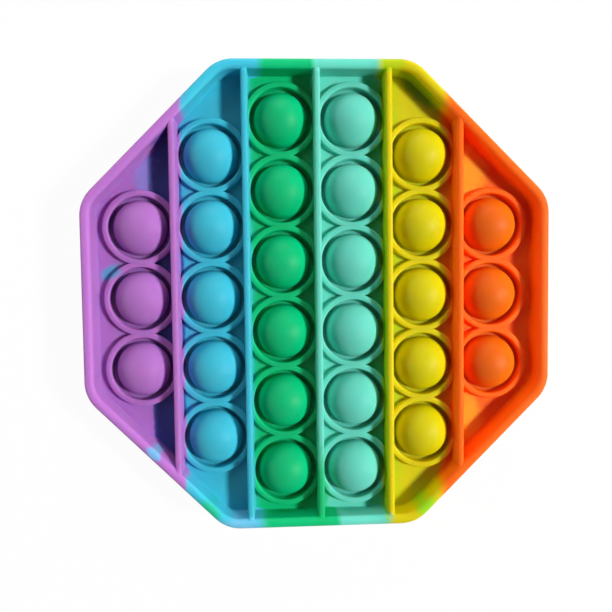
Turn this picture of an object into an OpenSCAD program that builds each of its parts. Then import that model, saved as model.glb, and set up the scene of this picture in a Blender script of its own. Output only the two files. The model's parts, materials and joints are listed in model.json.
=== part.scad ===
// Octagonal bubble pop fidget toy: one silicone moulding with a rim, dividing ribs and hollow bubbles.
// The web lies at mid height, so the rim, the ribs and the rings stand proud of it on both faces.

/* [Bubbles] */
// Columns of bubbles, which is also the most bubbles in one column
columns = 6; // [4:2:8]
// Distance between neighbouring bubbles, across and along the columns
bubble_pitch = 19.1; // [18.5:0.1:24]
// Outer radius of a bubble's dome
dome_radius = 7.4; // [6:0.1:7.6]
// Wall of a bubble's dome
dome_wall = 0.9; // [0.7:0.1:1.5]
// Thickness of the skin round a bubble, which folds as it pops
hinge_thickness = 0.6; // [0.4:0.1:1]
// Width of the groove between a bubble and its ring
groove_width = 1.1; // [0.8:0.1:1.4]

/* [Rings] */
// Width of the raised ring round each bubble
ring_width = 1.6; // [1.2:0.1:2]
// Height of a ring above the web
ring_height = 1.8; // [1:0.1:2.4]
// Radius on the edges of a ring
ring_edge = 0.45; // [0.2:0.05:0.6]

/* [Frame] */
// Thickness of the web between the two faces
web_thickness = 2; // [1.4:0.1:3]
// Overall thickness of the toy
rim_height = 15; // [14:0.5:20]
// Width of the rim at its two faces
rim_width = 2.7; // [2:0.1:3.5]
// Radius on the edges of the rim
rim_edge = 0.9; // [0.3:0.1:1]
// Outer radius of the rim's corners
corner_radius = 10; // [6:1:16]
// Distance from the outermost bubbles' centres to the outside of the rim
edge_margin = 14.75; // [14.25:0.25:20]
// Draft of the rim, the ribs and the rings, in degrees from the parting line to each face
draft_angle = 1; // [0.5:0.5:3]

/* [Ribs] */
// Width of a rib at its two crests
rib_width = 1.7; // [1.4:0.1:2.2]
// Radius on the edges of a rib
rib_edge = 0.7; // [0.2:0.1:0.8]
// How far a rib's crest lies below the rim's face
rib_drop = 0.3; // [0:0.1:2]

/* [Hidden] */
$fn = 96;
// The octagon
sides = 8;
turn = 360 / sides;
apothem = (columns - 1) * bubble_pitch / 2 + edge_margin;
mid_height = rim_height / 2;
rim_base = rim_width + rim_height * tan(draft_angle);
rim_middle = apothem - rim_base / 2;
corner_distance = apothem - corner_radius;
straight_length = 2 * corner_distance * tan(turn / 2);
// A ring's inner wall is the outer wall of its bubble's groove
ring_inner = dome_radius + groove_width;
ring_middle = ring_inner + ring_width / 2;
ring_total = web_thickness + 2 * ring_height;
// Each edge radius takes at most this share of its wall's width, and is drawn with this many flats
edge_share = 0.45;
frame_flats = 4;
ring_flats = 3;
corner_flats = 6;
// Silicone colours of the columns, from left to right, which of them each rib has, and the rim's in the model
band_colours = ["#B778D8", "#5AB0E0", "#12A86A", "#62CFAE", "#E4DC10", "#FF6A2A"];
rib_bands = [0, 1, 3, 4, 5];
rim_colour = band_colours[1];

// Points of an arc about a centre
function arc(centre, radius, from, to, flats) =
    [for (i = [0 : flats]) let (a = from + (to - from) * i / flats) centre + radius * [cos(a), sin(a)]];

function reversed(points) = [for (i = [len(points) - 1 : -1 : 0]) points[i]];

// Right side of a wall that stands out of both faces, from its low crest to its high one: widest at the
// parting line, drafted, with round edges
function wall_side(width, height, edge_radius, flats) =
    let (half = height / 2,
         base = width / 2 + half * tan(draft_angle),
         edge = min(edge_radius, edge_share * width),
         edge_x = width / 2 + edge * tan(draft_angle) - edge / cos(draft_angle),
         edge_arc = arc([edge_x, half - edge], edge, draft_angle, 90, flats))
    concat([for (p = reversed(edge_arc)) [p.x, -p.y]], [[base, 0]], edge_arc);

// Whole section of such a wall
function wall_section(width, height, edge_radius, flats) =
    let (side = wall_side(width, height, edge_radius, flats))
    concat(side, [for (p = reversed(side)) [-p.x, p.y]]);

// Outline of an octagon with round corners, whose flats lie at a distance from the centre
function octagon_outline(flat, radius) =
    [for (side = [0 : sides - 1])
        let (a = turn * (side + 0.5), reach = (flat - radius) / cos(turn / 2))
        each arc(reach * [cos(a), sin(a)], radius, turn * side, turn * (side + 1), corner_flats)];

// How many bubbles fit in a column, inside the octagon drawn through the outermost bubbles' centres
function bubbles_in(column) =
    let (across = abs(column - (columns - 1) / 2),
         diagonal_reach = (columns - 1) / 2 / cos(turn))
    min(columns, floor(2 * (diagonal_reach - across) + 1));

function column_x(column) = (column - (columns - 1) / 2) * bubble_pitch;

function row_y(column, row) = ((bubbles_in(column) - 1) / 2 - row) * bubble_pitch;

function band_colour(column) = band_colours[column % len(band_colours)];

// The strip of one column, from rib to rib, or to beyond the rim at the two ends
module band_strip(column) {
    reach = 2 * apothem;
    left = column == 0 ? -reach : column_x(column) - bubble_pitch / 2;
    right = column == columns - 1 ? reach : column_x(column) + bubble_pitch / 2;
    translate([left, -reach]) square([right - left, 2 * reach]);
}

// Section of a bubble from its axis outwards: the dome's shell, the thin hinge and the ring on both faces
module bubble_section() {
    difference() {
        circle(r = dome_radius);
        circle(r = dome_radius - dome_wall);
        translate([-dome_radius, -dome_radius]) square([dome_radius, 2 * dome_radius]);
        translate([0, -dome_radius - hinge_thickness / 2]) square(dome_radius);
    }
    translate([dome_radius - dome_wall / 2, -hinge_thickness / 2])
        square([ring_middle - dome_radius + dome_wall / 2, hinge_thickness]);
    translate([ring_middle, 0]) polygon(wall_section(ring_width, ring_total, ring_edge, ring_flats));
}

// A column of bubbles with their rings
module bubble_column(column) {
    color(band_colour(column))
        for (row = [0 : bubbles_in(column) - 1])
            translate([column_x(column), row_y(column, row), mid_height])
                rotate_extrude() bubble_section();
}

// The web of one column, with an opening for each bubble that ends under the middle of its ring
module web_panel(column) {
    color(band_colour(column))
        translate([0, 0, mid_height - web_thickness / 2])
            linear_extrude(height = web_thickness) difference() {
                intersection() {
                    polygon(octagon_outline(rim_middle, corner_radius - rim_base / 2));
                    band_strip(column);
                }
                for (row = [0 : bubbles_in(column) - 1])
                    translate([column_x(column), row_y(column, row)]) circle(r = ring_middle);
            }
}

// A body with the octagon's outline: a slab from each side to the opposite one, and a disc at each corner.
// The profile is its right side, from low to high, measured outwards from a corner's centre.
module octagon_body(profile) {
    low = profile[0].y;
    high = profile[len(profile) - 1].y;
    slab_side = [for (p = profile) [p.x + corner_distance, p.y]];
    for (side = [0 : sides / 2 - 1])
        rotate([90, 0, turn * side]) linear_extrude(height = straight_length, center = true)
            polygon(concat(slab_side, [for (p = reversed(slab_side)) [-p.x, p.y]]));
    for (side = [0 : sides - 1])
        rotate([0, 0, turn * side]) translate([corner_distance, straight_length / 2, 0])
            rotate_extrude() polygon(concat([[0, low]], profile, [[0, high]]));
}

// The whole rim: the octagon's outer body less its inner one, which runs out of both faces. Both have the
// rim's draft and round edges.
module rim_ring() {
    section_radius = corner_radius - rim_base / 2;
    side = wall_side(rim_width, rim_height, rim_edge, frame_flats);
    crest_x = side[0].x;
    open_side = concat([[crest_x, -rim_height]], side, [[crest_x, rim_height]]);
    color(rim_colour) translate([0, 0, mid_height]) difference() {
        octagon_body([for (p = side) [section_radius + p.x, p.y]]);
        octagon_body([for (p = open_side) [section_radius - p.x, p.y]]);
    }
}

// The rib on the left of a column, from rim to rim
module rib(column) {
    x = column_x(column) - bubble_pitch / 2;
    reach = min(rim_middle, rim_middle / cos(turn) - abs(x));
    color(band_colours[rib_bands[(column - 1) % len(rib_bands)]])
        translate([x, 0, mid_height]) rotate([90, 0, 0])
            linear_extrude(height = 2 * reach, center = true)
                polygon(wall_section(rib_width, rim_height - 2 * rib_drop, rib_edge, frame_flats));
}

module bubble_pad() {
    rim_ring();
    for (column = [0 : columns - 1]) {
        web_panel(column);
        bubble_column(column);
    }
    for (column = [1 : columns - 1]) rib(column);
}

bubble_pad();
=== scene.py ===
"""Looks of the octagonal bubble pop toy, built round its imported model.

One silicone moulding lies face up on a white table: a deep octagonal rim, upright ribs between the columns,
and a hollow bubble inside each raised ring. Six colours of silicone were poured side by side into the mould,
so they run into one another along the ribs, the floors and the rim.
"""
import json
import logging
import math
from dataclasses import dataclass, field
from enum import Enum
from typing import Iterable, Sequence, Union

import bmesh
import bpy
from mathutils import Matrix, Vector

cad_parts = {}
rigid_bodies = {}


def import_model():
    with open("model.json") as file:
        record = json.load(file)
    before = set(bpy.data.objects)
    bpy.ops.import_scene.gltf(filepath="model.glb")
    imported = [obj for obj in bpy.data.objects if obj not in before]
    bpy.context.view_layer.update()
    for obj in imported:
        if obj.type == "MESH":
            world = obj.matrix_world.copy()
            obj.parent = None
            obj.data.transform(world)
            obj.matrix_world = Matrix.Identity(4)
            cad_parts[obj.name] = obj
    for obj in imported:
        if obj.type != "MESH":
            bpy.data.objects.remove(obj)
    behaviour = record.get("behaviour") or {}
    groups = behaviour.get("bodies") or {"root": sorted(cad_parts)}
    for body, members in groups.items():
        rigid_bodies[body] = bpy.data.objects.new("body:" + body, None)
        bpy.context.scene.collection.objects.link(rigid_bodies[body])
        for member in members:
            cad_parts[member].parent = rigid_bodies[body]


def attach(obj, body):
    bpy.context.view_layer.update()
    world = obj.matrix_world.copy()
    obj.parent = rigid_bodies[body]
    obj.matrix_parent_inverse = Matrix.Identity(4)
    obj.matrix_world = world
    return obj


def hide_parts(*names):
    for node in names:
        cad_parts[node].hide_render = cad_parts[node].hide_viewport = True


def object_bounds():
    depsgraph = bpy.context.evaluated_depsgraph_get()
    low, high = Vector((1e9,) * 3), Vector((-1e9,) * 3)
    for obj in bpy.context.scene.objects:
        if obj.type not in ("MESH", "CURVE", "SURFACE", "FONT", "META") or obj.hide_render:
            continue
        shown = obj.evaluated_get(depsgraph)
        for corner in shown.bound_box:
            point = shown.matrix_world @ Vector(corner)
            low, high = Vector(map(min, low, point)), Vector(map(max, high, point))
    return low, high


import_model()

cad_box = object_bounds()

MM = 0.001
MERGE_REACH = 2e-3 * MM
FULL_TURN = 2 * math.pi
NODE = "bubble_pad"
log = logging.getLogger("bubble_pad")

Point = tuple[float, float]


def arc(centre: Point, radius: float, start: float, stop: float, steps: int) -> list[Point]:
    """Points of an arc.

    Args:
        centre: The arc's centre.
        radius: The arc's radius.
        start: The first point's angle in degrees, from the first axis.
        stop: The last point's angle in degrees.
        steps: How many chords the arc has.

    Returns:
        The points in order, both ends included.
    """
    turns = [math.radians(start + (stop - start) * i / steps) for i in range(steps + 1)]
    return [(centre[0] + radius * math.cos(a), centre[1] + radius * math.sin(a)) for a in turns]


class BooleanStep(Enum):
    """What a Boolean step does with its tools."""

    ADD = "UNION"
    CUT = "DIFFERENCE"


@dataclass(frozen=True)
class Grid:
    """Where the bubbles stand.

    Attributes:
        columns: Columns of bubbles, which is also the most bubbles in one column.
        pitch: Distance between neighbouring bubbles.
    """

    columns: int = 6
    pitch: float = 19.1 * MM

    def column_x(self, column: int) -> float:
        """The place of a column across the toy."""
        return (column - (self.columns - 1) / 2) * self.pitch

    def rib_x(self, rib: int) -> float:
        """The place of the rib on the right of a column."""
        return self.column_x(rib) + self.pitch / 2

    def rows(self, column: int) -> int:
        """How many bubbles fit in a column, inside the octagon through the outermost bubbles' centres."""
        across = abs(column - (self.columns - 1) / 2)
        diagonal_reach = (self.columns - 1) / math.sqrt(2)
        return min(self.columns, math.floor(2 * (diagonal_reach - across) + 1))

    def places(self) -> list[tuple[float, float]]:
        """The centres of all bubbles, column by column."""
        return [
            (self.column_x(column), ((self.rows(column) - 1) / 2 - row) * self.pitch)
            for column in range(self.columns)
            for row in range(self.rows(column))
        ]


@dataclass(frozen=True)
class Wall:
    """A wall that stands out of both faces of the web, with draft and round edges.

    Attributes:
        width: Width at the crest.
        height: Height from crest to crest.
        edge: Radius on the crest's edges.
        draft: Lean of its sides, in degrees.
        edge_steps: Chords in each round edge.
    """

    width: float
    height: float
    edge: float
    draft: float = 1.0
    edge_steps: int = 5

    @property
    def crest(self) -> float:
        """Height of the crest above the parting line."""
        return self.height / 2

    def half_width(self, height: float) -> float:
        """Half of the wall's width at a height above the parting line."""
        return self.width / 2 + (self.crest - height) * math.tan(math.radians(self.draft))

    def edge_arc(self) -> list[Point]:
        """The round edge on the wall's right, from its side up to its crest."""
        lean = math.radians(self.draft)
        middle = self.width / 2 + self.edge * math.tan(lean) - self.edge / math.cos(lean)
        return arc((middle, self.crest - self.edge), self.edge, self.draft, 90, self.edge_steps)

    def foot_arc(self, floor: float, radius: float, sink: float, steps: int) -> list[Point]:
        """The hollow fillet on the wall's right, from the floor up to its side.

        Args:
            floor: Height of the floor above the parting line.
            radius: The fillet's radius.
            sink: How far the fillet's end dips under the floor.
            steps: Chords in the fillet.

        Returns:
            The points in order, from the floor upwards.
        """
        rise = floor + radius - sink
        return arc((self.half_width(rise) + radius, rise), radius, 270, 180, steps)


@dataclass(frozen=True)
class Moulding:
    """The sizes of the whole moulding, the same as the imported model's.

    Attributes:
        grid: Where the bubbles stand.
        rim: The section of the rim.
        rib: The section of a rib.
        ring: The section of a ring.
        web: Thickness of the web.
        dome_radius: Outer radius of a dome.
        dome_wall: Wall of a dome.
        hinge: Thickness of the skin that folds round a dome.
        groove: Width of the groove between a dome and its ring.
        corner_radius: Outer radius of the rim's corners.
        fillet: Radius where a wall meets the floor beside it.
        lip: Radius on the edge of a dome's mouth.
        sink: How far a fillet dips under the floor that it runs into.
    """

    grid: Grid = Grid()
    rim: Wall = Wall(2.7 * MM, 15 * MM, 1.2 * MM, edge_steps=7)
    rib: Wall = Wall(1.7 * MM, 14.4 * MM, 0.7 * MM)
    ring: Wall = Wall(1.6 * MM, 5.6 * MM, 0.5 * MM, edge_steps=4)
    web: float = 2 * MM
    dome_radius: float = 7.4 * MM
    dome_wall: float = 0.9 * MM
    hinge: float = 0.6 * MM
    groove: float = 1.1 * MM
    corner_radius: float = 10 * MM
    fillet: float = 0.3 * MM
    lip: float = 0.2 * MM
    sink: float = 0.01 * MM

    @property
    def middle(self) -> float:
        """Height of the parting line above the table."""
        return (cad_box[0].z + cad_box[1].z) / 2

    @property
    def flat(self) -> float:
        """Distance from the centre to the rim's outer side."""
        return (cad_box[1].x - cad_box[0].x) / 2

    @property
    def rim_centre_line(self) -> float:
        """Distance from the centre to the middle of the rim's section."""
        return self.flat - self.rim.half_width(0)

    @property
    def ring_radius(self) -> float:
        """Radius of a ring's centre line."""
        return self.dome_radius + self.groove + self.ring.width / 2


class Shape:
    """A mesh that grows by bmesh operators and ends as an object at the origin."""

    def __init__(self, name: str) -> None:
        """Starts an empty mesh under a name."""
        self.name = name
        self.bm = bmesh.new()

    def outline(self, points: Sequence[Vector], closed: bool) -> list[bmesh.types.BMEdge]:
        """Adds a line of edges.

        Args:
            points: The corners in order.
            closed: Whether the last corner joins the first.

        Returns:
            The new edges.
        """
        verts = [self.bm.verts.new(p) for p in points]
        pairs = zip(verts, verts[1:] + verts[:1] if closed else verts[1:])
        return [self.bm.edges.new(pair) for pair in pairs]

    def finish(self, place: Vector = Vector()) -> bpy.types.Object:
        """Merges doubles, turns the faces outwards and makes the object.

        Args:
            place: How far the mesh is moved first.

        Returns:
            The new object, linked to the scene.
        """
        bmesh.ops.remove_doubles(self.bm, verts=self.bm.verts, dist=MERGE_REACH)
        bmesh.ops.translate(self.bm, verts=self.bm.verts, vec=place)
        bmesh.ops.recalc_face_normals(self.bm, faces=self.bm.faces)
        mesh = bpy.data.meshes.new(self.name)
        self.bm.to_mesh(mesh)
        self.bm.free()
        piece = bpy.data.objects.new(self.name, mesh)
        bpy.context.scene.collection.objects.link(piece)
        return piece


def combine(base: bpy.types.Object, tools: Iterable[bpy.types.Object], step: BooleanStep) -> None:
    """Adds tools to a solid or cuts them out of it, and removes them.

    Args:
        base: The solid that changes.
        tools: The closed solids to add or cut.
        step: Whether they are added or cut.
    """
    group = bpy.data.collections.new("tools")
    bpy.context.scene.collection.children.link(group)
    for tool in tools:
        group.objects.link(tool)
    modifier = base.modifiers.new("combine", "BOOLEAN")
    modifier.operation = step.value
    modifier.solver = "MANIFOLD"
    modifier.operand_type = "COLLECTION"
    modifier.collection = group
    graph = bpy.context.evaluated_depsgraph_get()
    result = bpy.data.meshes.new_from_object(base.evaluated_get(graph))
    base.modifiers.clear()
    base.data = result
    for tool in list(group.objects):
        bpy.data.objects.remove(tool)
    bpy.data.collections.remove(group)


@dataclass
class Frame:
    """The rim, the web and the ribs.

    Attributes:
        moulding: The sizes of the toy.
        sides: Sides of the octagon.
        corner_steps: Chords in each of the rim's corners.
        fillet_steps: Chords in each fillet.
    """

    moulding: Moulding
    sides: int = 8
    corner_steps: int = 10
    fillet_steps: int = 4

    @property
    def turn(self) -> float:
        """The angle between two neighbouring sides."""
        return FULL_TURN / self.sides

    def rim_section(self) -> list[Point]:
        """The rim's section, with a fillet on the inside where the web meets it."""
        wall = self.moulding.rim
        sizes = self.moulding
        foot = wall.foot_arc(sizes.web / 2, sizes.fillet, sizes.sink, self.fillet_steps)
        outer = wall.edge_arc()
        inner = [(-x, z) for x, z in foot + outer]
        upper = [(wall.half_width(0), 0.0)] + outer + inner[::-1]
        return upper + [(x, -z) for x, z in upper[:0:-1]]

    def rib_section(self) -> list[Point]:
        """A rib's section, with fillets on both sides where the web meets it."""
        wall = self.moulding.rib
        sizes = self.moulding
        foot = wall.foot_arc(sizes.web / 2, sizes.fillet, sizes.sink, self.fillet_steps)
        right = foot + wall.edge_arc()
        upper = right + [(-x, z) for x, z in right[::-1]]
        return upper + [(x, -z) for x, z in upper[::-1]]

    def make_rim(self) -> bpy.types.Object:
        """Sweeps the rim's section round the octagon, straight by straight and corner by corner."""
        sizes = self.moulding
        shape = Shape("rim")
        corner_out = sizes.flat - sizes.corner_radius
        straight = 2 * corner_out * math.tan(self.turn / 2)
        start = [Vector((sizes.rim_centre_line + x, -straight / 2, z)) for x, z in self.rim_section()]
        edges = shape.outline(start, closed=True)
        for side in range(self.sides):
            along = Vector((-math.sin(self.turn * side), math.cos(self.turn * side), 0))
            outwards = Vector((along.y, -along.x, 0))
            grown = bmesh.ops.extrude_edge_only(shape.bm, edges=edges)["geom"]
            moved = [v for v in grown if isinstance(v, bmesh.types.BMVert)]
            bmesh.ops.translate(shape.bm, verts=moved, vec=along * straight)
            edges = [e for e in grown if isinstance(e, bmesh.types.BMEdge)]
            centre = outwards * corner_out + along * straight / 2
            turned = bmesh.ops.spin(
                shape.bm, geom=edges, cent=centre, axis=Vector((0, 0, 1)), angle=self.turn,
                steps=self.corner_steps, use_merge=False,
            )["geom_last"]
            edges = [e for e in turned if isinstance(e, bmesh.types.BMEdge)]
        return shape.finish(Vector((0, 0, sizes.middle)))

    def make_web(self) -> bpy.types.Object:
        """The flat plate at mid height, whose outline runs along the middle of the rim."""
        sizes = self.moulding
        shape = Shape("web")
        reach = sizes.rim_centre_line / math.cos(self.turn / 2)
        made = bmesh.ops.create_circle(shape.bm, cap_ends=True, radius=reach, segments=self.sides)
        bmesh.ops.rotate(
            shape.bm, verts=made["verts"], cent=Vector(), matrix=Matrix.Rotation(self.turn / 2, 3, "Z")
        )
        setback = (sizes.corner_radius - sizes.rim.half_width(0)) * math.tan(self.turn / 2)
        bmesh.ops.bevel(
            shape.bm, geom=shape.bm.verts[:], offset=setback, offset_type="OFFSET", affect="VERTICES",
            segments=self.corner_steps, profile=0.5, material=-1,
        )
        grown = bmesh.ops.extrude_face_region(shape.bm, geom=shape.bm.faces[:])["geom"]
        top = [v for v in grown if isinstance(v, bmesh.types.BMVert)]
        bmesh.ops.translate(shape.bm, verts=top, vec=Vector((0, 0, sizes.web)))
        return shape.finish(Vector((0, 0, sizes.middle - sizes.web / 2)))

    def make_rib(self, rib: int) -> bpy.types.Object:
        """One rib, which ends inside the rim.

        Args:
            rib: Which rib, from the left.

        Returns:
            The closed rib.
        """
        sizes = self.moulding
        shape = Shape(f"rib_{rib}")
        x = sizes.grid.rib_x(rib)
        reach = min(sizes.rim_centre_line, sizes.rim_centre_line / math.cos(self.turn) - abs(x))
        start = [Vector((x + across, -reach, z)) for across, z in self.rib_section()]
        edges = shape.outline(start, closed=True)
        face = bmesh.ops.contextual_create(shape.bm, geom=edges)["faces"]
        grown = bmesh.ops.extrude_face_region(shape.bm, geom=face)["geom"]
        moved = [v for v in grown if isinstance(v, bmesh.types.BMVert)]
        bmesh.ops.translate(shape.bm, verts=moved, vec=Vector((0, 2 * reach, 0)))
        return shape.finish(Vector((0, 0, sizes.middle)))

    def make(self) -> bpy.types.Object:
        """The rim with its web and ribs as one solid."""
        rim = self.make_rim()
        ribs = [self.make_rib(rib) for rib in range(self.moulding.grid.columns - 1)]
        combine(rim, [self.make_web(), *ribs], BooleanStep.ADD)
        return rim


@dataclass
class Bubble:
    """A hollow dome with its hinge and its ring, as one turned solid.

    Attributes:
        moulding: The sizes of the toy.
        segments: Faces round the bubble.
        dome_steps: Chords from the dome's top to its foot, outside.
        hollow_steps: Chords inside the dome.
        fillet_steps: Chords in each fillet and in the lip.
        clearance: How far the opening in the frame lies behind the ring's inner wall.
        headroom: How far that opening stops under the ring's crest.
    """

    moulding: Moulding
    segments: int = 48
    dome_steps: int = 12
    hollow_steps: int = 9
    fillet_steps: int = 3
    clearance: float = 0.15 * MM
    headroom: float = 0.5 * MM

    def ring_side(self, floor: float) -> list[Point]:
        """The inner side of the ring, from the groove's floor up to the crest.

        Args:
            floor: Height of the groove's floor above the parting line.

        Returns:
            Points as radius and height.
        """
        sizes = self.moulding
        side = sizes.ring.foot_arc(floor, sizes.fillet, 0, self.fillet_steps) + sizes.ring.edge_arc()
        return [(sizes.ring_radius - x, z) for x, z in side]

    def ring_back(self) -> list[Point]:
        """The outer side of the ring, from its crest down to the web."""
        sizes = self.moulding
        foot = sizes.ring.foot_arc(sizes.web / 2, sizes.fillet, sizes.sink, self.fillet_steps)
        return [(sizes.ring_radius + x, z) for x, z in (foot + sizes.ring.edge_arc())[::-1]]

    def profile(self) -> list[Point]:
        """The section from the dome's top, out over the ring, and back inside to the hollow's top."""
        sizes = self.moulding
        floor = sizes.hinge / 2
        blend = math.asin((floor + sizes.fillet) / (sizes.dome_radius + sizes.fillet))
        blend_x = (sizes.dome_radius + sizes.fillet) * math.cos(blend)
        lean = math.degrees(blend)
        dome = arc((0, 0), sizes.dome_radius, 90, lean, self.dome_steps)
        foot = arc((blend_x, floor + sizes.fillet), sizes.fillet, 180 + lean, 270, self.fillet_steps)
        over = dome + foot[1:] + self.ring_side(floor) + self.ring_back()
        under = [(r, -z) for r, z in (self.ring_side(floor) + self.ring_back())[::-1]]
        hollow = sizes.dome_radius - sizes.dome_wall
        lip_angle = math.asin((sizes.lip - floor) / (hollow + sizes.lip))
        lip_x = (hollow + sizes.lip) * math.cos(lip_angle)
        lip_lean = math.degrees(lip_angle)
        lip = arc((lip_x, sizes.lip - floor), sizes.lip, 270, 180 + lip_lean, self.fillet_steps)
        inside = arc((0, 0), hollow, lip_lean, 90, self.hollow_steps)
        return over + under + lip + inside[1:]

    def make(self, place: tuple[float, float]) -> bpy.types.Object:
        """Spins the section into a bubble.

        Args:
            place: The bubble's centre on the grid.

        Returns:
            The closed bubble.
        """
        shape = Shape("bubble")
        edges = shape.outline([Vector((r, 0, z)) for r, z in self.profile()], closed=False)
        bmesh.ops.spin(
            shape.bm, geom=shape.bm.verts[:] + edges, cent=Vector(), axis=Vector((0, 0, 1)),
            angle=FULL_TURN, steps=self.segments, use_merge=True,
        )
        return shape.finish(Vector((*place, self.moulding.middle)))

    def make_opening(self, place: tuple[float, float]) -> bpy.types.Object:
        """The space that a bubble needs in the frame, which ends inside the ring's walls.

        Args:
            place: The bubble's centre on the grid.

        Returns:
            A closed plug.
        """
        sizes = self.moulding
        shape = Shape("opening")
        radius = sizes.dome_radius + sizes.groove + self.clearance
        bmesh.ops.create_cone(
            shape.bm, cap_ends=True, segments=self.segments, radius1=radius, radius2=radius,
            depth=sizes.ring.height - 2 * self.headroom,
        )
        return shape.finish(Vector((*place, sizes.middle)))


@dataclass
class Pad:
    """The whole toy as one moulding.

    Attributes:
        moulding: The sizes of the toy.
        crease: Edges that turn more than this many degrees stay sharp.
    """

    moulding: Moulding
    crease: float = 38.0

    def make(self) -> bpy.types.Object:
        """Joins the frame and the bubbles, and smooths the result."""
        bubble = Bubble(self.moulding)
        places = self.moulding.grid.places()
        pad = Frame(self.moulding).make()
        pad.name = "silicone_pad"
        combine(pad, [bubble.make_opening(p) for p in places], BooleanStep.CUT)
        combine(pad, [bubble.make(p) for p in places], BooleanStep.ADD)
        pad.data.shade_smooth()
        pad.data.set_sharp_from_angle(angle=math.radians(self.crease))
        weighted = pad.modifiers.new("weighted_normals", "WEIGHTED_NORMAL")
        weighted.keep_sharp = True
        return pad


Value = Union["Signal", float]
Colour = tuple[float, float, float, float]
# Sockets of a Mix node that works on colours.
MIX_A, MIX_B, MIX_RESULT = 6, 7, 2


def colour(code: str) -> Colour:
    """A linear colour from its six hexadecimal digits, as it shows on a screen."""
    parts = [int(code[i:i + 2], 16) / 255 for i in (0, 2, 4)]
    red, green, blue = [p / 12.92 if p <= 0.04045 else ((p + 0.055) / 1.055) ** 2.4 for p in parts]
    return (red, green, blue, 1.0)


@dataclass(frozen=True)
class Signal:
    """A shader socket that takes part in Python expressions.

    Attributes:
        shader: The material's nodes.
        socket: The output that gives the value.
    """

    shader: "Shader"
    socket: bpy.types.NodeSocket

    def __add__(self, other: Value) -> "Signal":
        """The sum of two values."""
        return self.shader.math("ADD", self, other)

    __radd__ = __add__

    def __sub__(self, other: Value) -> "Signal":
        """This value less another."""
        return self.shader.math("SUBTRACT", self, other)

    def __rsub__(self, other: Value) -> "Signal":
        """Another value less this one."""
        return self.shader.math("SUBTRACT", other, self)

    def __mul__(self, other: Value) -> "Signal":
        """The product of two values."""
        return self.shader.math("MULTIPLY", self, other)

    __rmul__ = __mul__


@dataclass(frozen=True)
class Shader:
    """The nodes of one material.

    Attributes:
        tree: The material's node tree.
    """

    tree: bpy.types.NodeTree

    def add(
        self, kind: str, settings: dict[str, object], inputs: dict[Union[str, int], object]
    ) -> bpy.types.Node:
        """Adds a node.

        Args:
            kind: The node's type.
            settings: Its settings by name, made first.
            inputs: The value or signal of each socket, by name or number.

        Returns:
            The new node.
        """
        node = self.tree.nodes.new(kind)
        for name, value in settings.items():
            setattr(node, name, value)
        for key, value in inputs.items():
            if isinstance(value, Signal):
                self.tree.links.new(value.socket, node.inputs[key])
            else:
                node.inputs[key].default_value = value
        return node

    def math(self, operation: str, *values: Value) -> Signal:
        """One Math node on values or signals."""
        node = self.add("ShaderNodeMath", {"operation": operation}, dict(enumerate(values)))
        return Signal(self, node.outputs[0])

    def vector(self, operation: str, **inputs: object) -> bpy.types.Node:
        """One Vector Math node, whose sockets are named in lower case."""
        named = {name.title(): value for name, value in inputs.items()}
        return self.add("ShaderNodeVectorMath", {"operation": operation}, named)

    def ramp(self, value: Value, start: Value, stop: Value) -> Signal:
        """A smooth step from 0 at start to 1 at stop, which may lie either way round."""
        node = self.add(
            "ShaderNodeMapRange", {"interpolation_type": "SMOOTHSTEP"},
            {"Value": value, "From Min": start, "From Max": stop},
        )
        return Signal(self, node.outputs["Result"])

    def mix(self, factor: Value, first: object, second: object) -> Signal:
        """A blend of two colours, from the first at 0 to the second at 1."""
        node = self.add(
            "ShaderNodeMix", {"data_type": "RGBA"}, {"Factor": factor, MIX_A: first, MIX_B: second}
        )
        return Signal(self, node.outputs[MIX_RESULT])

    def noise(self, place: Signal, scale: float, detail: float = 2.0) -> Signal:
        """Soft noise between 0 and 1.

        Args:
            place: The place in millimetres.
            scale: Blobs in each millimetre.
            detail: How many finer layers it has.

        Returns:
            The noise.
        """
        node = self.add(
            "ShaderNodeTexNoise", {"noise_dimensions": "3D"},
            {"Vector": place, "Scale": scale, "Detail": detail},
        )
        return Signal(self, node.outputs[0])


class Level(Enum):
    """Which part of the moulding a stain lies on."""

    RIM = "rim"
    FLOOR = "floor"
    LOW = "low"
    ANY = "any"


@dataclass(frozen=True)
class Seam:
    """The line along which one colour of silicone runs into the next.

    Attributes:
        inside: Its place across the toy, on the ribs, rings and domes, in millimetres.
        floor: Its place on the web's floor.
        far: Its place on the rim at the far end of the ribs.
        near: Its place on the rim at the near end.
        blend: Half the width over which the colours blend on the ribs, rings and domes.
        soft: The same on the rim and the floor.
    """

    inside: float
    floor: float
    far: float
    near: float
    blend: float = 0.5
    soft: float = 0.8


@dataclass(frozen=True)
class Stain:
    """A patch where a colour ran past its own band. A few patches are partly painted shade as well.

    Attributes:
        centre: The middle of the patch, in millimetres.
        reach: Half its length and half its width.
        turn: The direction of its length, in degrees.
        tint: Its colour.
        strength: How much of the colour covers the band's own, from 0 to 1.
        level: Which part of the moulding it lies on.
        fade: How wide its faded edge is, as a share of its reach.
    """

    centre: Point
    reach: Point
    turn: float
    tint: Colour
    strength: float = 0.8
    level: Level = Level.RIM
    fade: float = 0.5


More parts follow.
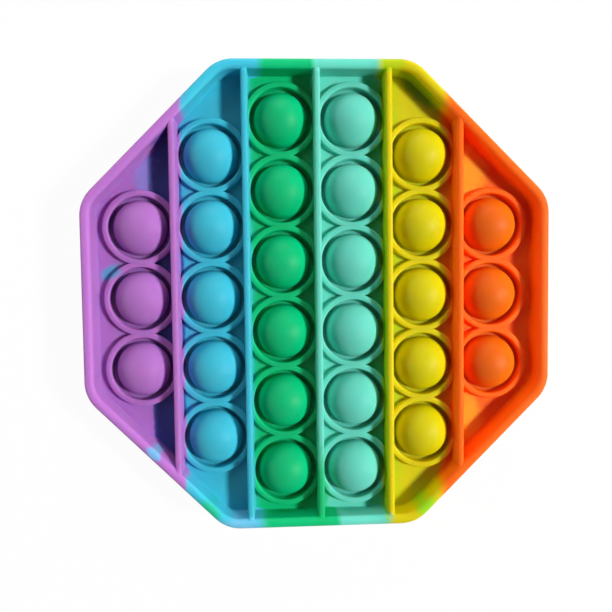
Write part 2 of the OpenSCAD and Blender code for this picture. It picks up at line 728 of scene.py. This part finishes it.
@dataclass(frozen=True)
class Silicone:
    """The silicone, in six colours that were poured side by side.

    Attributes:
        bands: The colours from left to right.
        seams: The seams between them.
        stains: Patches of colour across the seams. The dark blue strip, the dark violet patch at its far end
            and the olive patch are partly painted shade.
        wave: How far noise moves a seam, in millimetres.
        rim_start: Distances from the centre between which the rim begins, in millimetres.
        pitch: Distance between neighbouring bubbles, in millimetres.
        groove_painted_shade: How much painted shade darkens a groove's bottom, from 0 to 1.
        crest_painted_highlight: How much lighter the rim's crest is painted on the colder colours, as a
            painted highlight, from 0 to 1.
        roughness: Roughness of the clean surface.
        scatter: How far light travels in it, for red, green and blue.
        scatter_scale: The length that scatter multiplies.
        ior: Refractive index.
        specular: Strength of its gloss.
        parting_height: Height of the parting line above the table, in millimetres. The heights below are
            distances from it, each pair from where a mask begins to where it is whole.
        floor_top: The floor's upper limit.
        floor_foot: The floor's lower limit.
        low_wall: The walls' lower part.
        crest: The rim's crest, where the painted highlight lies.
        crest_side: Where across the toy the crest's painted highlight begins.
        groove_walls: Distances from a bubble's centre at which its groove begins.
        groove_rim: Distances from a bubble's centre at which its groove ends.
        groove_bottom: The grooves' bottoms.
        near_far: Places along the ribs between which the rim's near seams give way to its far ones.
        drift_scale: Blobs in each millimetre of the noise that moves the seams.
        ragged_scale: The same of the noise that frays the patches.
        ragged_reach: How far that noise frays them.
        cloud_scale: Blobs in each millimetre of the broad changes in gloss.
        cloud_rough: How far those change the roughness.
        fine_detail: How many finer layers the noise of the gloss and of the grain has.
        skin_scale: Blobs in each millimetre of the skin's fine grain.
        skin_rough: How far the grain changes the roughness.
        skin_depth: Depth of the grain.
        skin_strength: How strongly the grain turns the surface.
    """

    bands: tuple[Colour, ...] = (
        colour("B476C4"), colour("40BCD2"), colour("00BC7A"), colour("6AD0BE"), colour("D6CA00"),
        colour("FF6E06"),
    )
    seams: tuple[Seam, ...] = (
        Seam(-36.5, -37.4, -35.6, -36.2),
        Seam(-18.0, -18.0, -15.0, -15.9, 0.5, 1.6),
        Seam(-0.9, -0.9, -1.0, 4.6),
        Seam(17.5, 17.9, 16.6, 18.5, 0.4, 1.4),
        Seam(35.8, 35.0, 34.2, 32.8, 1.8, 1.8),
    )
    stains: tuple[Stain, ...] = (
        Stain((-44.6, -41.2), (1.2, 2.3), 45, colour("6FB4DA"), 0.9, Level.RIM, 0.25),
        Stain((-30.2, -56.6), (3.4, 1.5), -45, colour("1EBE82"), 0.8),
        Stain((-21.6, -61.2), (5.0, 2.2), 0, colour("86BFE2"), 0.6, Level.RIM, 0.7),
        Stain((28.6, -57.6), (2.8, 1.9), 45, colour("8CDC1E")),
        Stain((19.8, 61.0), (3.4, 2.4), 0, colour("A8D40A"), 0.6),
        Stain((17.9, 0.0), (0.5, 90.0), 0, colour("9CD000"), 0.7, Level.ANY),
        # Dark blue strip left of the first rib: blue silicone, darkened as painted shade where the rib's
        # shadow falls.
        Stain((-41.2, 0.0), (4.7, 95.0), 0, colour("3C4CA0"), 0.95, Level.FLOOR, 0.08),
        # Dark violet patch at the strip's far end, on the rim's low inner wall: partly painted shade.
        Stain((-41.3, 43.2), (3.6, 2.0), 45, colour("5450A0"), 0.8, Level.LOW, 0.4),
        Stain((-46.8, 35.0), (2.4, 8.0), 0, colour("8C96DA"), 0.7, Level.FLOOR, 0.8),
        Stain((-56.0, 7.1), (2.9, 1.7), 25, colour("4FA6CC"), 0.9, Level.ANY, 0.5),
        Stain((43.2, 35.0), (4.2, 9.5), -14, colour("FFA81E"), 0.9, Level.FLOOR),
        Stain((42.6, -35.5), (3.6, 8.5), 14, colour("FFA81E"), 0.9, Level.FLOOR),
        Stain((15.8, 0.0), (3.4, 70.0), 0, colour("12B060"), 0.7, Level.FLOOR),
        Stain((21.2, 0.0), (2.6, 60.0), 0, colour("9CC808"), 0.5, Level.FLOOR),
        Stain((35.6, 0.0), (3.0, 50.0), 0, colour("F0A000"), 0.7, Level.FLOOR),
        # Olive patch on the rim's low inner wall at the far right corner: a greener yellow, darkened as
        # painted shade.
        Stain((27.6, 56.0), (7.0, 1.6), -45, colour("5C9600"), 0.75, Level.LOW),
        Stain((0.0, -57.0), (1.7, 13.0), 0, colour("00B870"), 0.95, Level.ANY, 0.6),
        Stain((-34.6, 0.0), (1.8, 60.0), 0, colour("7C86CC"), 0.16, Level.ANY, 0.9),
    )
    wave: float = 1.1
    rim_start: tuple[float, float] = (58.6, 59.6)
    pitch: float = 19.1
    groove_painted_shade: float = 0.24
    crest_painted_highlight: float = 0.18
    roughness: float = 0.48
    scatter: tuple[float, float, float] = (0.5, 0.2, 0.16)
    scatter_scale: float = 4.0 * MM
    ior: float = 1.41
    specular: float = 0.15
    parting_height: float = 7.5
    floor_top: tuple[float, float] = (1.8, 1.15)
    floor_foot: tuple[float, float] = (0.6, 0.9)
    low_wall: tuple[float, float] = (6.6, 5.0)
    crest: tuple[float, float] = (6.4, 7.2)
    crest_side: tuple[float, float] = (20.0, 12.0)
    groove_walls: tuple[float, float] = (7.0, 7.5)
    groove_rim: tuple[float, float] = (8.7, 8.2)
    groove_bottom: tuple[float, float] = (2.6, 0.6)
    near_far: tuple[float, float] = (-20.0, 20.0)
    drift_scale: float = 0.11
    ragged_scale: float = 0.5
    ragged_reach: float = 1.6
    cloud_scale: float = 0.06
    cloud_rough: float = 0.16
    fine_detail: float = 3.0
    skin_scale: float = 4.0
    skin_rough: float = 0.08
    skin_depth: float = 0.03 * MM
    skin_strength: float = 0.25

    def octagon_reach(self, shader: Shader, x: Signal, y: Signal) -> Signal:
        """Distance from the centre to the octagon through a place, measured along its flats."""
        across = shader.math("ABSOLUTE", x)
        along = shader.math("ABSOLUTE", y)
        straight = shader.math("MAXIMUM", across, along)
        return shader.math("MAXIMUM", straight, (across + along) * math.sqrt(0.5))

    def band_colour(
        self, shader: Shader, x: Signal, y: Signal, levels: dict[Level, Value], wave: Signal
    ) -> Signal:
        """The colours of the bands, blended along their seams.

        Args:
            shader: The material's nodes.
            x: Place across the toy, in millimetres.
            y: Place along the ribs.
            levels: The mask of each part of the moulding.
            wave: How far the seams are pushed aside.

        Returns:
            The colour.
        """
        far = levels[Level.RIM] * shader.ramp(y, *self.near_far)
        near = levels[Level.RIM] - far
        pushed = x + wave
        result: object = self.bands[0]
        for seam, band in zip(self.seams, self.bands[1:]):
            shift = far * (seam.far - seam.inside) + near * (seam.near - seam.inside)
            shift = shift + levels[Level.FLOOR] * (seam.floor - seam.inside)
            half = (levels[Level.RIM] + levels[Level.FLOOR]) * (seam.soft - seam.blend) + seam.blend
            past = shader.ramp(pushed - shift, seam.inside - half, seam.inside + half)
            result = shader.mix(past, result, band)
        return result

    def stain_mask(
        self, shader: Shader, stain: Stain, flat: Signal, ragged: Signal, levels: dict[Level, Value]
    ) -> Signal:
        """Where a stain lies.

        Args:
            shader: The material's nodes.
            stain: The patch.
            flat: The place in millimetres, with no height.
            ragged: Noise that frays the patch's edge.
            levels: The mask of each part of the moulding.

        Returns:
            The patch's cover, from 0 to 1.
        """
        inside = shader.add(
            "ShaderNodeMapping", {"vector_type": "TEXTURE"},
            {"Vector": flat, "Location": (*stain.centre, 0), "Rotation": (0, 0, math.radians(stain.turn)),
             "Scale": (*stain.reach, 1)},
        )
        length = shader.vector("LENGTH", vector=Signal(shader, inside.outputs[0])).outputs["Value"]
        cover = shader.ramp(ragged * stain.fade + Signal(shader, length), 1 + stain.fade, 1 - stain.fade)
        return cover * stain.strength * levels[stain.level]

    def groove_depth(self, shader: Shader, x: Signal, y: Signal, height: Signal) -> Signal:
        """How deep in a bubble's groove a place lies, where little light comes back out, as the mask of the
        painted shade there.

        Args:
            shader: The material's nodes.
            x: Place across the toy, in millimetres.
            y: Place along the ribs.
            height: Distance from the parting line.

        Returns:
            1 at the groove's bottom and 0 outside the grooves.
        """
        across = shader.math("ABSOLUTE", x)
        inner = shader.math("LESS_THAN", across, self.pitch)
        middle = shader.math("LESS_THAN", across, 2 * self.pitch)
        side = shader.math("FRACT", x * (1 / self.pitch)) - 0.5
        along = shader.math("FRACT", y * (1 / self.pitch) + (inner + 1) * 0.5) - 0.5
        radius = shader.math("SQRT", side * side + along * along) * self.pitch
        # The columns hold 3, 5 and 6 bubbles from the outside in, and end that many half pitches out.
        reach = (middle * 2 + inner + 3) * (self.pitch / 2)
        inside = shader.math("LESS_THAN", shader.math("ABSOLUTE", y), reach)
        inside = inside * shader.math("LESS_THAN", across, 3 * self.pitch)
        ring = shader.ramp(radius, *self.groove_walls) * shader.ramp(radius, *self.groove_rim)
        return ring * inside * shader.ramp(height, *self.groove_bottom)

    def make(self) -> bpy.types.Material:
        """Builds the material."""
        material = bpy.data.materials.new("poured_silicone")
        material.use_nodes = True
        shader = Shader(material.node_tree)
        shader.tree.nodes.clear()
        place = shader.add("ShaderNodeTexCoord", {}, {}).outputs["Object"]
        scaled = shader.vector("SCALE", vector=Signal(shader, place), scale=1 / MM)
        spot = Signal(shader, scaled.outputs[0])
        parts = shader.add("ShaderNodeSeparateXYZ", {}, {0: spot})
        x, y, z = [Signal(shader, out) for out in parts.outputs]
        flat = Signal(shader, shader.vector("MULTIPLY", vector=spot).outputs[0])
        flat.socket.node.inputs[1].default_value = (1, 1, 0)
        rim = shader.ramp(self.octagon_reach(shader, x, y), *self.rim_start)
        height = shader.math("ABSOLUTE", z - self.parting_height)
        floor = shader.ramp(height, *self.floor_top) * shader.ramp(height, *self.floor_foot) * (1 - rim)
        drift = shader.noise(spot, self.drift_scale) - 0.5
        ragged = (shader.noise(spot, self.ragged_scale) - 0.5) * self.ragged_reach
        low = shader.ramp(height, *self.low_wall)
        levels = {Level.RIM: rim, Level.FLOOR: floor, Level.LOW: low, Level.ANY: 1.0}
        base = self.band_colour(shader, x, y, levels, drift * (1 + rim + floor) * self.wave)
        for stain in self.stains:
            base = shader.mix(self.stain_mask(shader, stain, flat, ragged, levels), base, stain.tint)
        # Painted shade: the grooves' bottoms are darkened towards black.
        groove = self.groove_depth(shader, x, y, height)
        base = shader.mix(groove * self.groove_painted_shade, base, (0, 0, 0, 1))
        # Painted highlight: the rim's crest is made lighter on the colder colours, for the sheen of light on
        # it.
        crest = rim * shader.ramp(height, *self.crest) * shader.ramp(x, *self.crest_side) * self.crest_painted_highlight
        base = Signal(shader, shader.vector("SCALE", vector=base, scale=crest + 1).outputs[0])
        cloud = shader.noise(spot, self.cloud_scale, self.fine_detail)
        skin = shader.noise(spot, self.skin_scale, self.fine_detail)
        rough = self.roughness + (cloud - 0.5) * self.cloud_rough + (skin - 0.5) * self.skin_rough
        bump = shader.add(
            "ShaderNodeBump", {},
            {"Strength": self.skin_strength, "Distance": self.skin_depth, "Height": skin},
        )
        surface = shader.add(
            "ShaderNodeBsdfPrincipled", {"subsurface_method": "RANDOM_WALK"},
            {"Base Color": base, "Roughness": rough, "Normal": Signal(shader, bump.outputs[0]),
             "IOR": self.ior, "Specular IOR Level": self.specular, "Subsurface Weight": 1.0,
             "Subsurface Radius": self.scatter, "Subsurface Scale": self.scatter_scale},
        )
        shader.add("ShaderNodeOutputMaterial", {}, {"Surface": Signal(shader, surface.outputs[0])})
        return material


@dataclass(frozen=True)
class Lamp:
    """A round area light.

    Attributes:
        name: What it is.
        place: Where it is, in metres.
        size: Its diameter.
        level: How bright a white sheet that faces it becomes at the toy, where 1 is white.
    """

    name: str
    place: tuple[float, float, float]
    size: float
    level: float

    def make(self) -> bpy.types.Object:
        """Adds the light, turned to the toy."""
        spot = Vector(self.place)
        data = bpy.data.lights.new(self.name, "AREA")
        data.shape = "DISK"
        data.size = self.size
        data.energy = self.level * (math.pi * spot.length) ** 2
        lamp = bpy.data.objects.new(self.name, data)
        lamp.matrix_world = Matrix.LocRotScale(spot, (-spot).to_track_quat("-Z", "Y"), None)
        bpy.context.scene.collection.objects.link(lamp)
        return lamp


@dataclass(frozen=True)
class Studio:
    """The table, the lights and the world.

    Attributes:
        lamps: The lights.
        ambient: How bright the world lights the toy, where 1 is white.
        table_size: Half the width of the table, in metres.
        table_colour: The colour of the table itself.
        backdrop: How much of a plain white the table shows to the camera, from 0 to 1. Only the rest shows
            the toy's shadow, so it is faint.
    """

    lamps: tuple[Lamp, ...] = (
        Lamp("window", (0.80, -0.04, 0.80), 0.18, 1.14),
        Lamp("top_panel", (0.0, 0.60, 0.22), 0.40, 0.40),
        Lamp("left_panel", (-0.60, 0.0, 0.20), 0.40, 0.28),
    )
    ambient: float = 0.05
    table_size: float = 2.5
    table_colour: Colour = (0.9, 0.9, 0.9, 1.0)
    backdrop: float = 0.96

    def seen_as_backdrop(self, shader: Shader) -> Signal:
        """1 for what the camera, a reflection or a clear material sees, and 0 for the light itself."""
        path = shader.add("ShaderNodeLightPath", {}, {})
        camera, glossy, clear = [
            Signal(shader, path.outputs[name])
            for name in ("Is Camera Ray", "Is Glossy Ray", "Is Transmission Ray")
        ]
        return shader.math("MAXIMUM", shader.math("MAXIMUM", camera, glossy), clear)

    def make_world(self) -> None:
        """A white world that lights the toy softly."""
        world = bpy.data.worlds.new("studio")
        world.use_nodes = True
        shader = Shader(world.node_tree)
        shader.tree.nodes.clear()
        strength = self.ambient + self.seen_as_backdrop(shader) * (1 - self.ambient)
        light = shader.add("ShaderNodeBackground", {}, {"Color": (1, 1, 1, 1), "Strength": strength})
        shader.add("ShaderNodeOutputWorld", {}, {"Surface": Signal(shader, light.outputs[0])})
        bpy.context.scene.world = world

    def make_table(self) -> bpy.types.Object:
        """A white table that keeps a faint shadow of the toy."""
        shape = Shape("table")
        bmesh.ops.create_grid(shape.bm, x_segments=1, y_segments=1, size=self.table_size)
        table = shape.finish()
        material = bpy.data.materials.new("table_white")
        material.use_nodes = True
        shader = Shader(material.node_tree)
        shader.tree.nodes.clear()
        matt = shader.add("ShaderNodeBsdfDiffuse", {}, {"Color": self.table_colour})
        plain = shader.add("ShaderNodeEmission", {}, {"Color": (1, 1, 1, 1), "Strength": 1.0})
        blend = shader.add(
            "ShaderNodeMixShader", {},
            {0: self.seen_as_backdrop(shader) * self.backdrop, 1: Signal(shader, matt.outputs[0]),
             2: Signal(shader, plain.outputs[0])},
        )
        shader.add("ShaderNodeOutputMaterial", {}, {"Surface": Signal(shader, blend.outputs[0])})
        table.data.materials.append(material)
        return table

    def make(self) -> None:
        """Adds the world, the table and the lights."""
        self.make_world()
        self.make_table()
        for lamp in self.lamps:
            lamp.make()


@dataclass(frozen=True)
class View:
    """The camera's place, as the photograph was taken.

    Attributes:
        eye: Where the camera is.
        aim: The point on the table that it looks at.
        roll: How far its right side dips, in degrees.
        lens: Focal length in millimetres on the sensor.
        sensor: Width of the sensor in millimetres.
    """

    eye: Vector = field(default_factory=lambda: Vector((-11.13, 5.23, 173.84)) * MM)
    aim: Vector = field(default_factory=lambda: Vector((-2.90, -3.14, 0)) * MM)
    roll: float = -0.76
    lens: float = 35.3
    sensor: float = 36.0

    def make(self) -> bpy.types.Object:
        """Adds the camera and makes it the scene's."""
        data = bpy.data.cameras.new("camera")
        data.lens = self.lens
        data.sensor_width = self.sensor
        data.clip_start = 1 * MM
        camera = bpy.data.objects.new("camera", data)
        bpy.context.scene.collection.objects.link(camera)
        back = (self.eye - self.aim).normalized()
        right = Vector((0, 1, 0)).cross(back).normalized()
        turn = Matrix((right, back.cross(right), back)).transposed()
        turn = turn @ Matrix.Rotation(math.radians(self.roll), 3, "Z")
        camera.matrix_world = Matrix.LocRotScale(self.eye, turn.to_quaternion(), None)
        bpy.context.scene.camera = camera
        return camera


def main() -> None:
    """Builds the toy and its studio."""
    logging.basicConfig(level=logging.INFO, format="%(name)s: %(message)s")
    bpy.context.scene.view_settings.view_transform = "Standard"
    View().make()
    Studio().make()
    pad = Pad(Moulding()).make()
    pad.data.materials.clear()
    pad.data.materials.append(Silicone().make())
    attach(pad, "root")
    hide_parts(NODE)
    log.info("%s: %d faces", pad.name, len(pad.data.polygons))


if __name__ == "__main__":
    main()
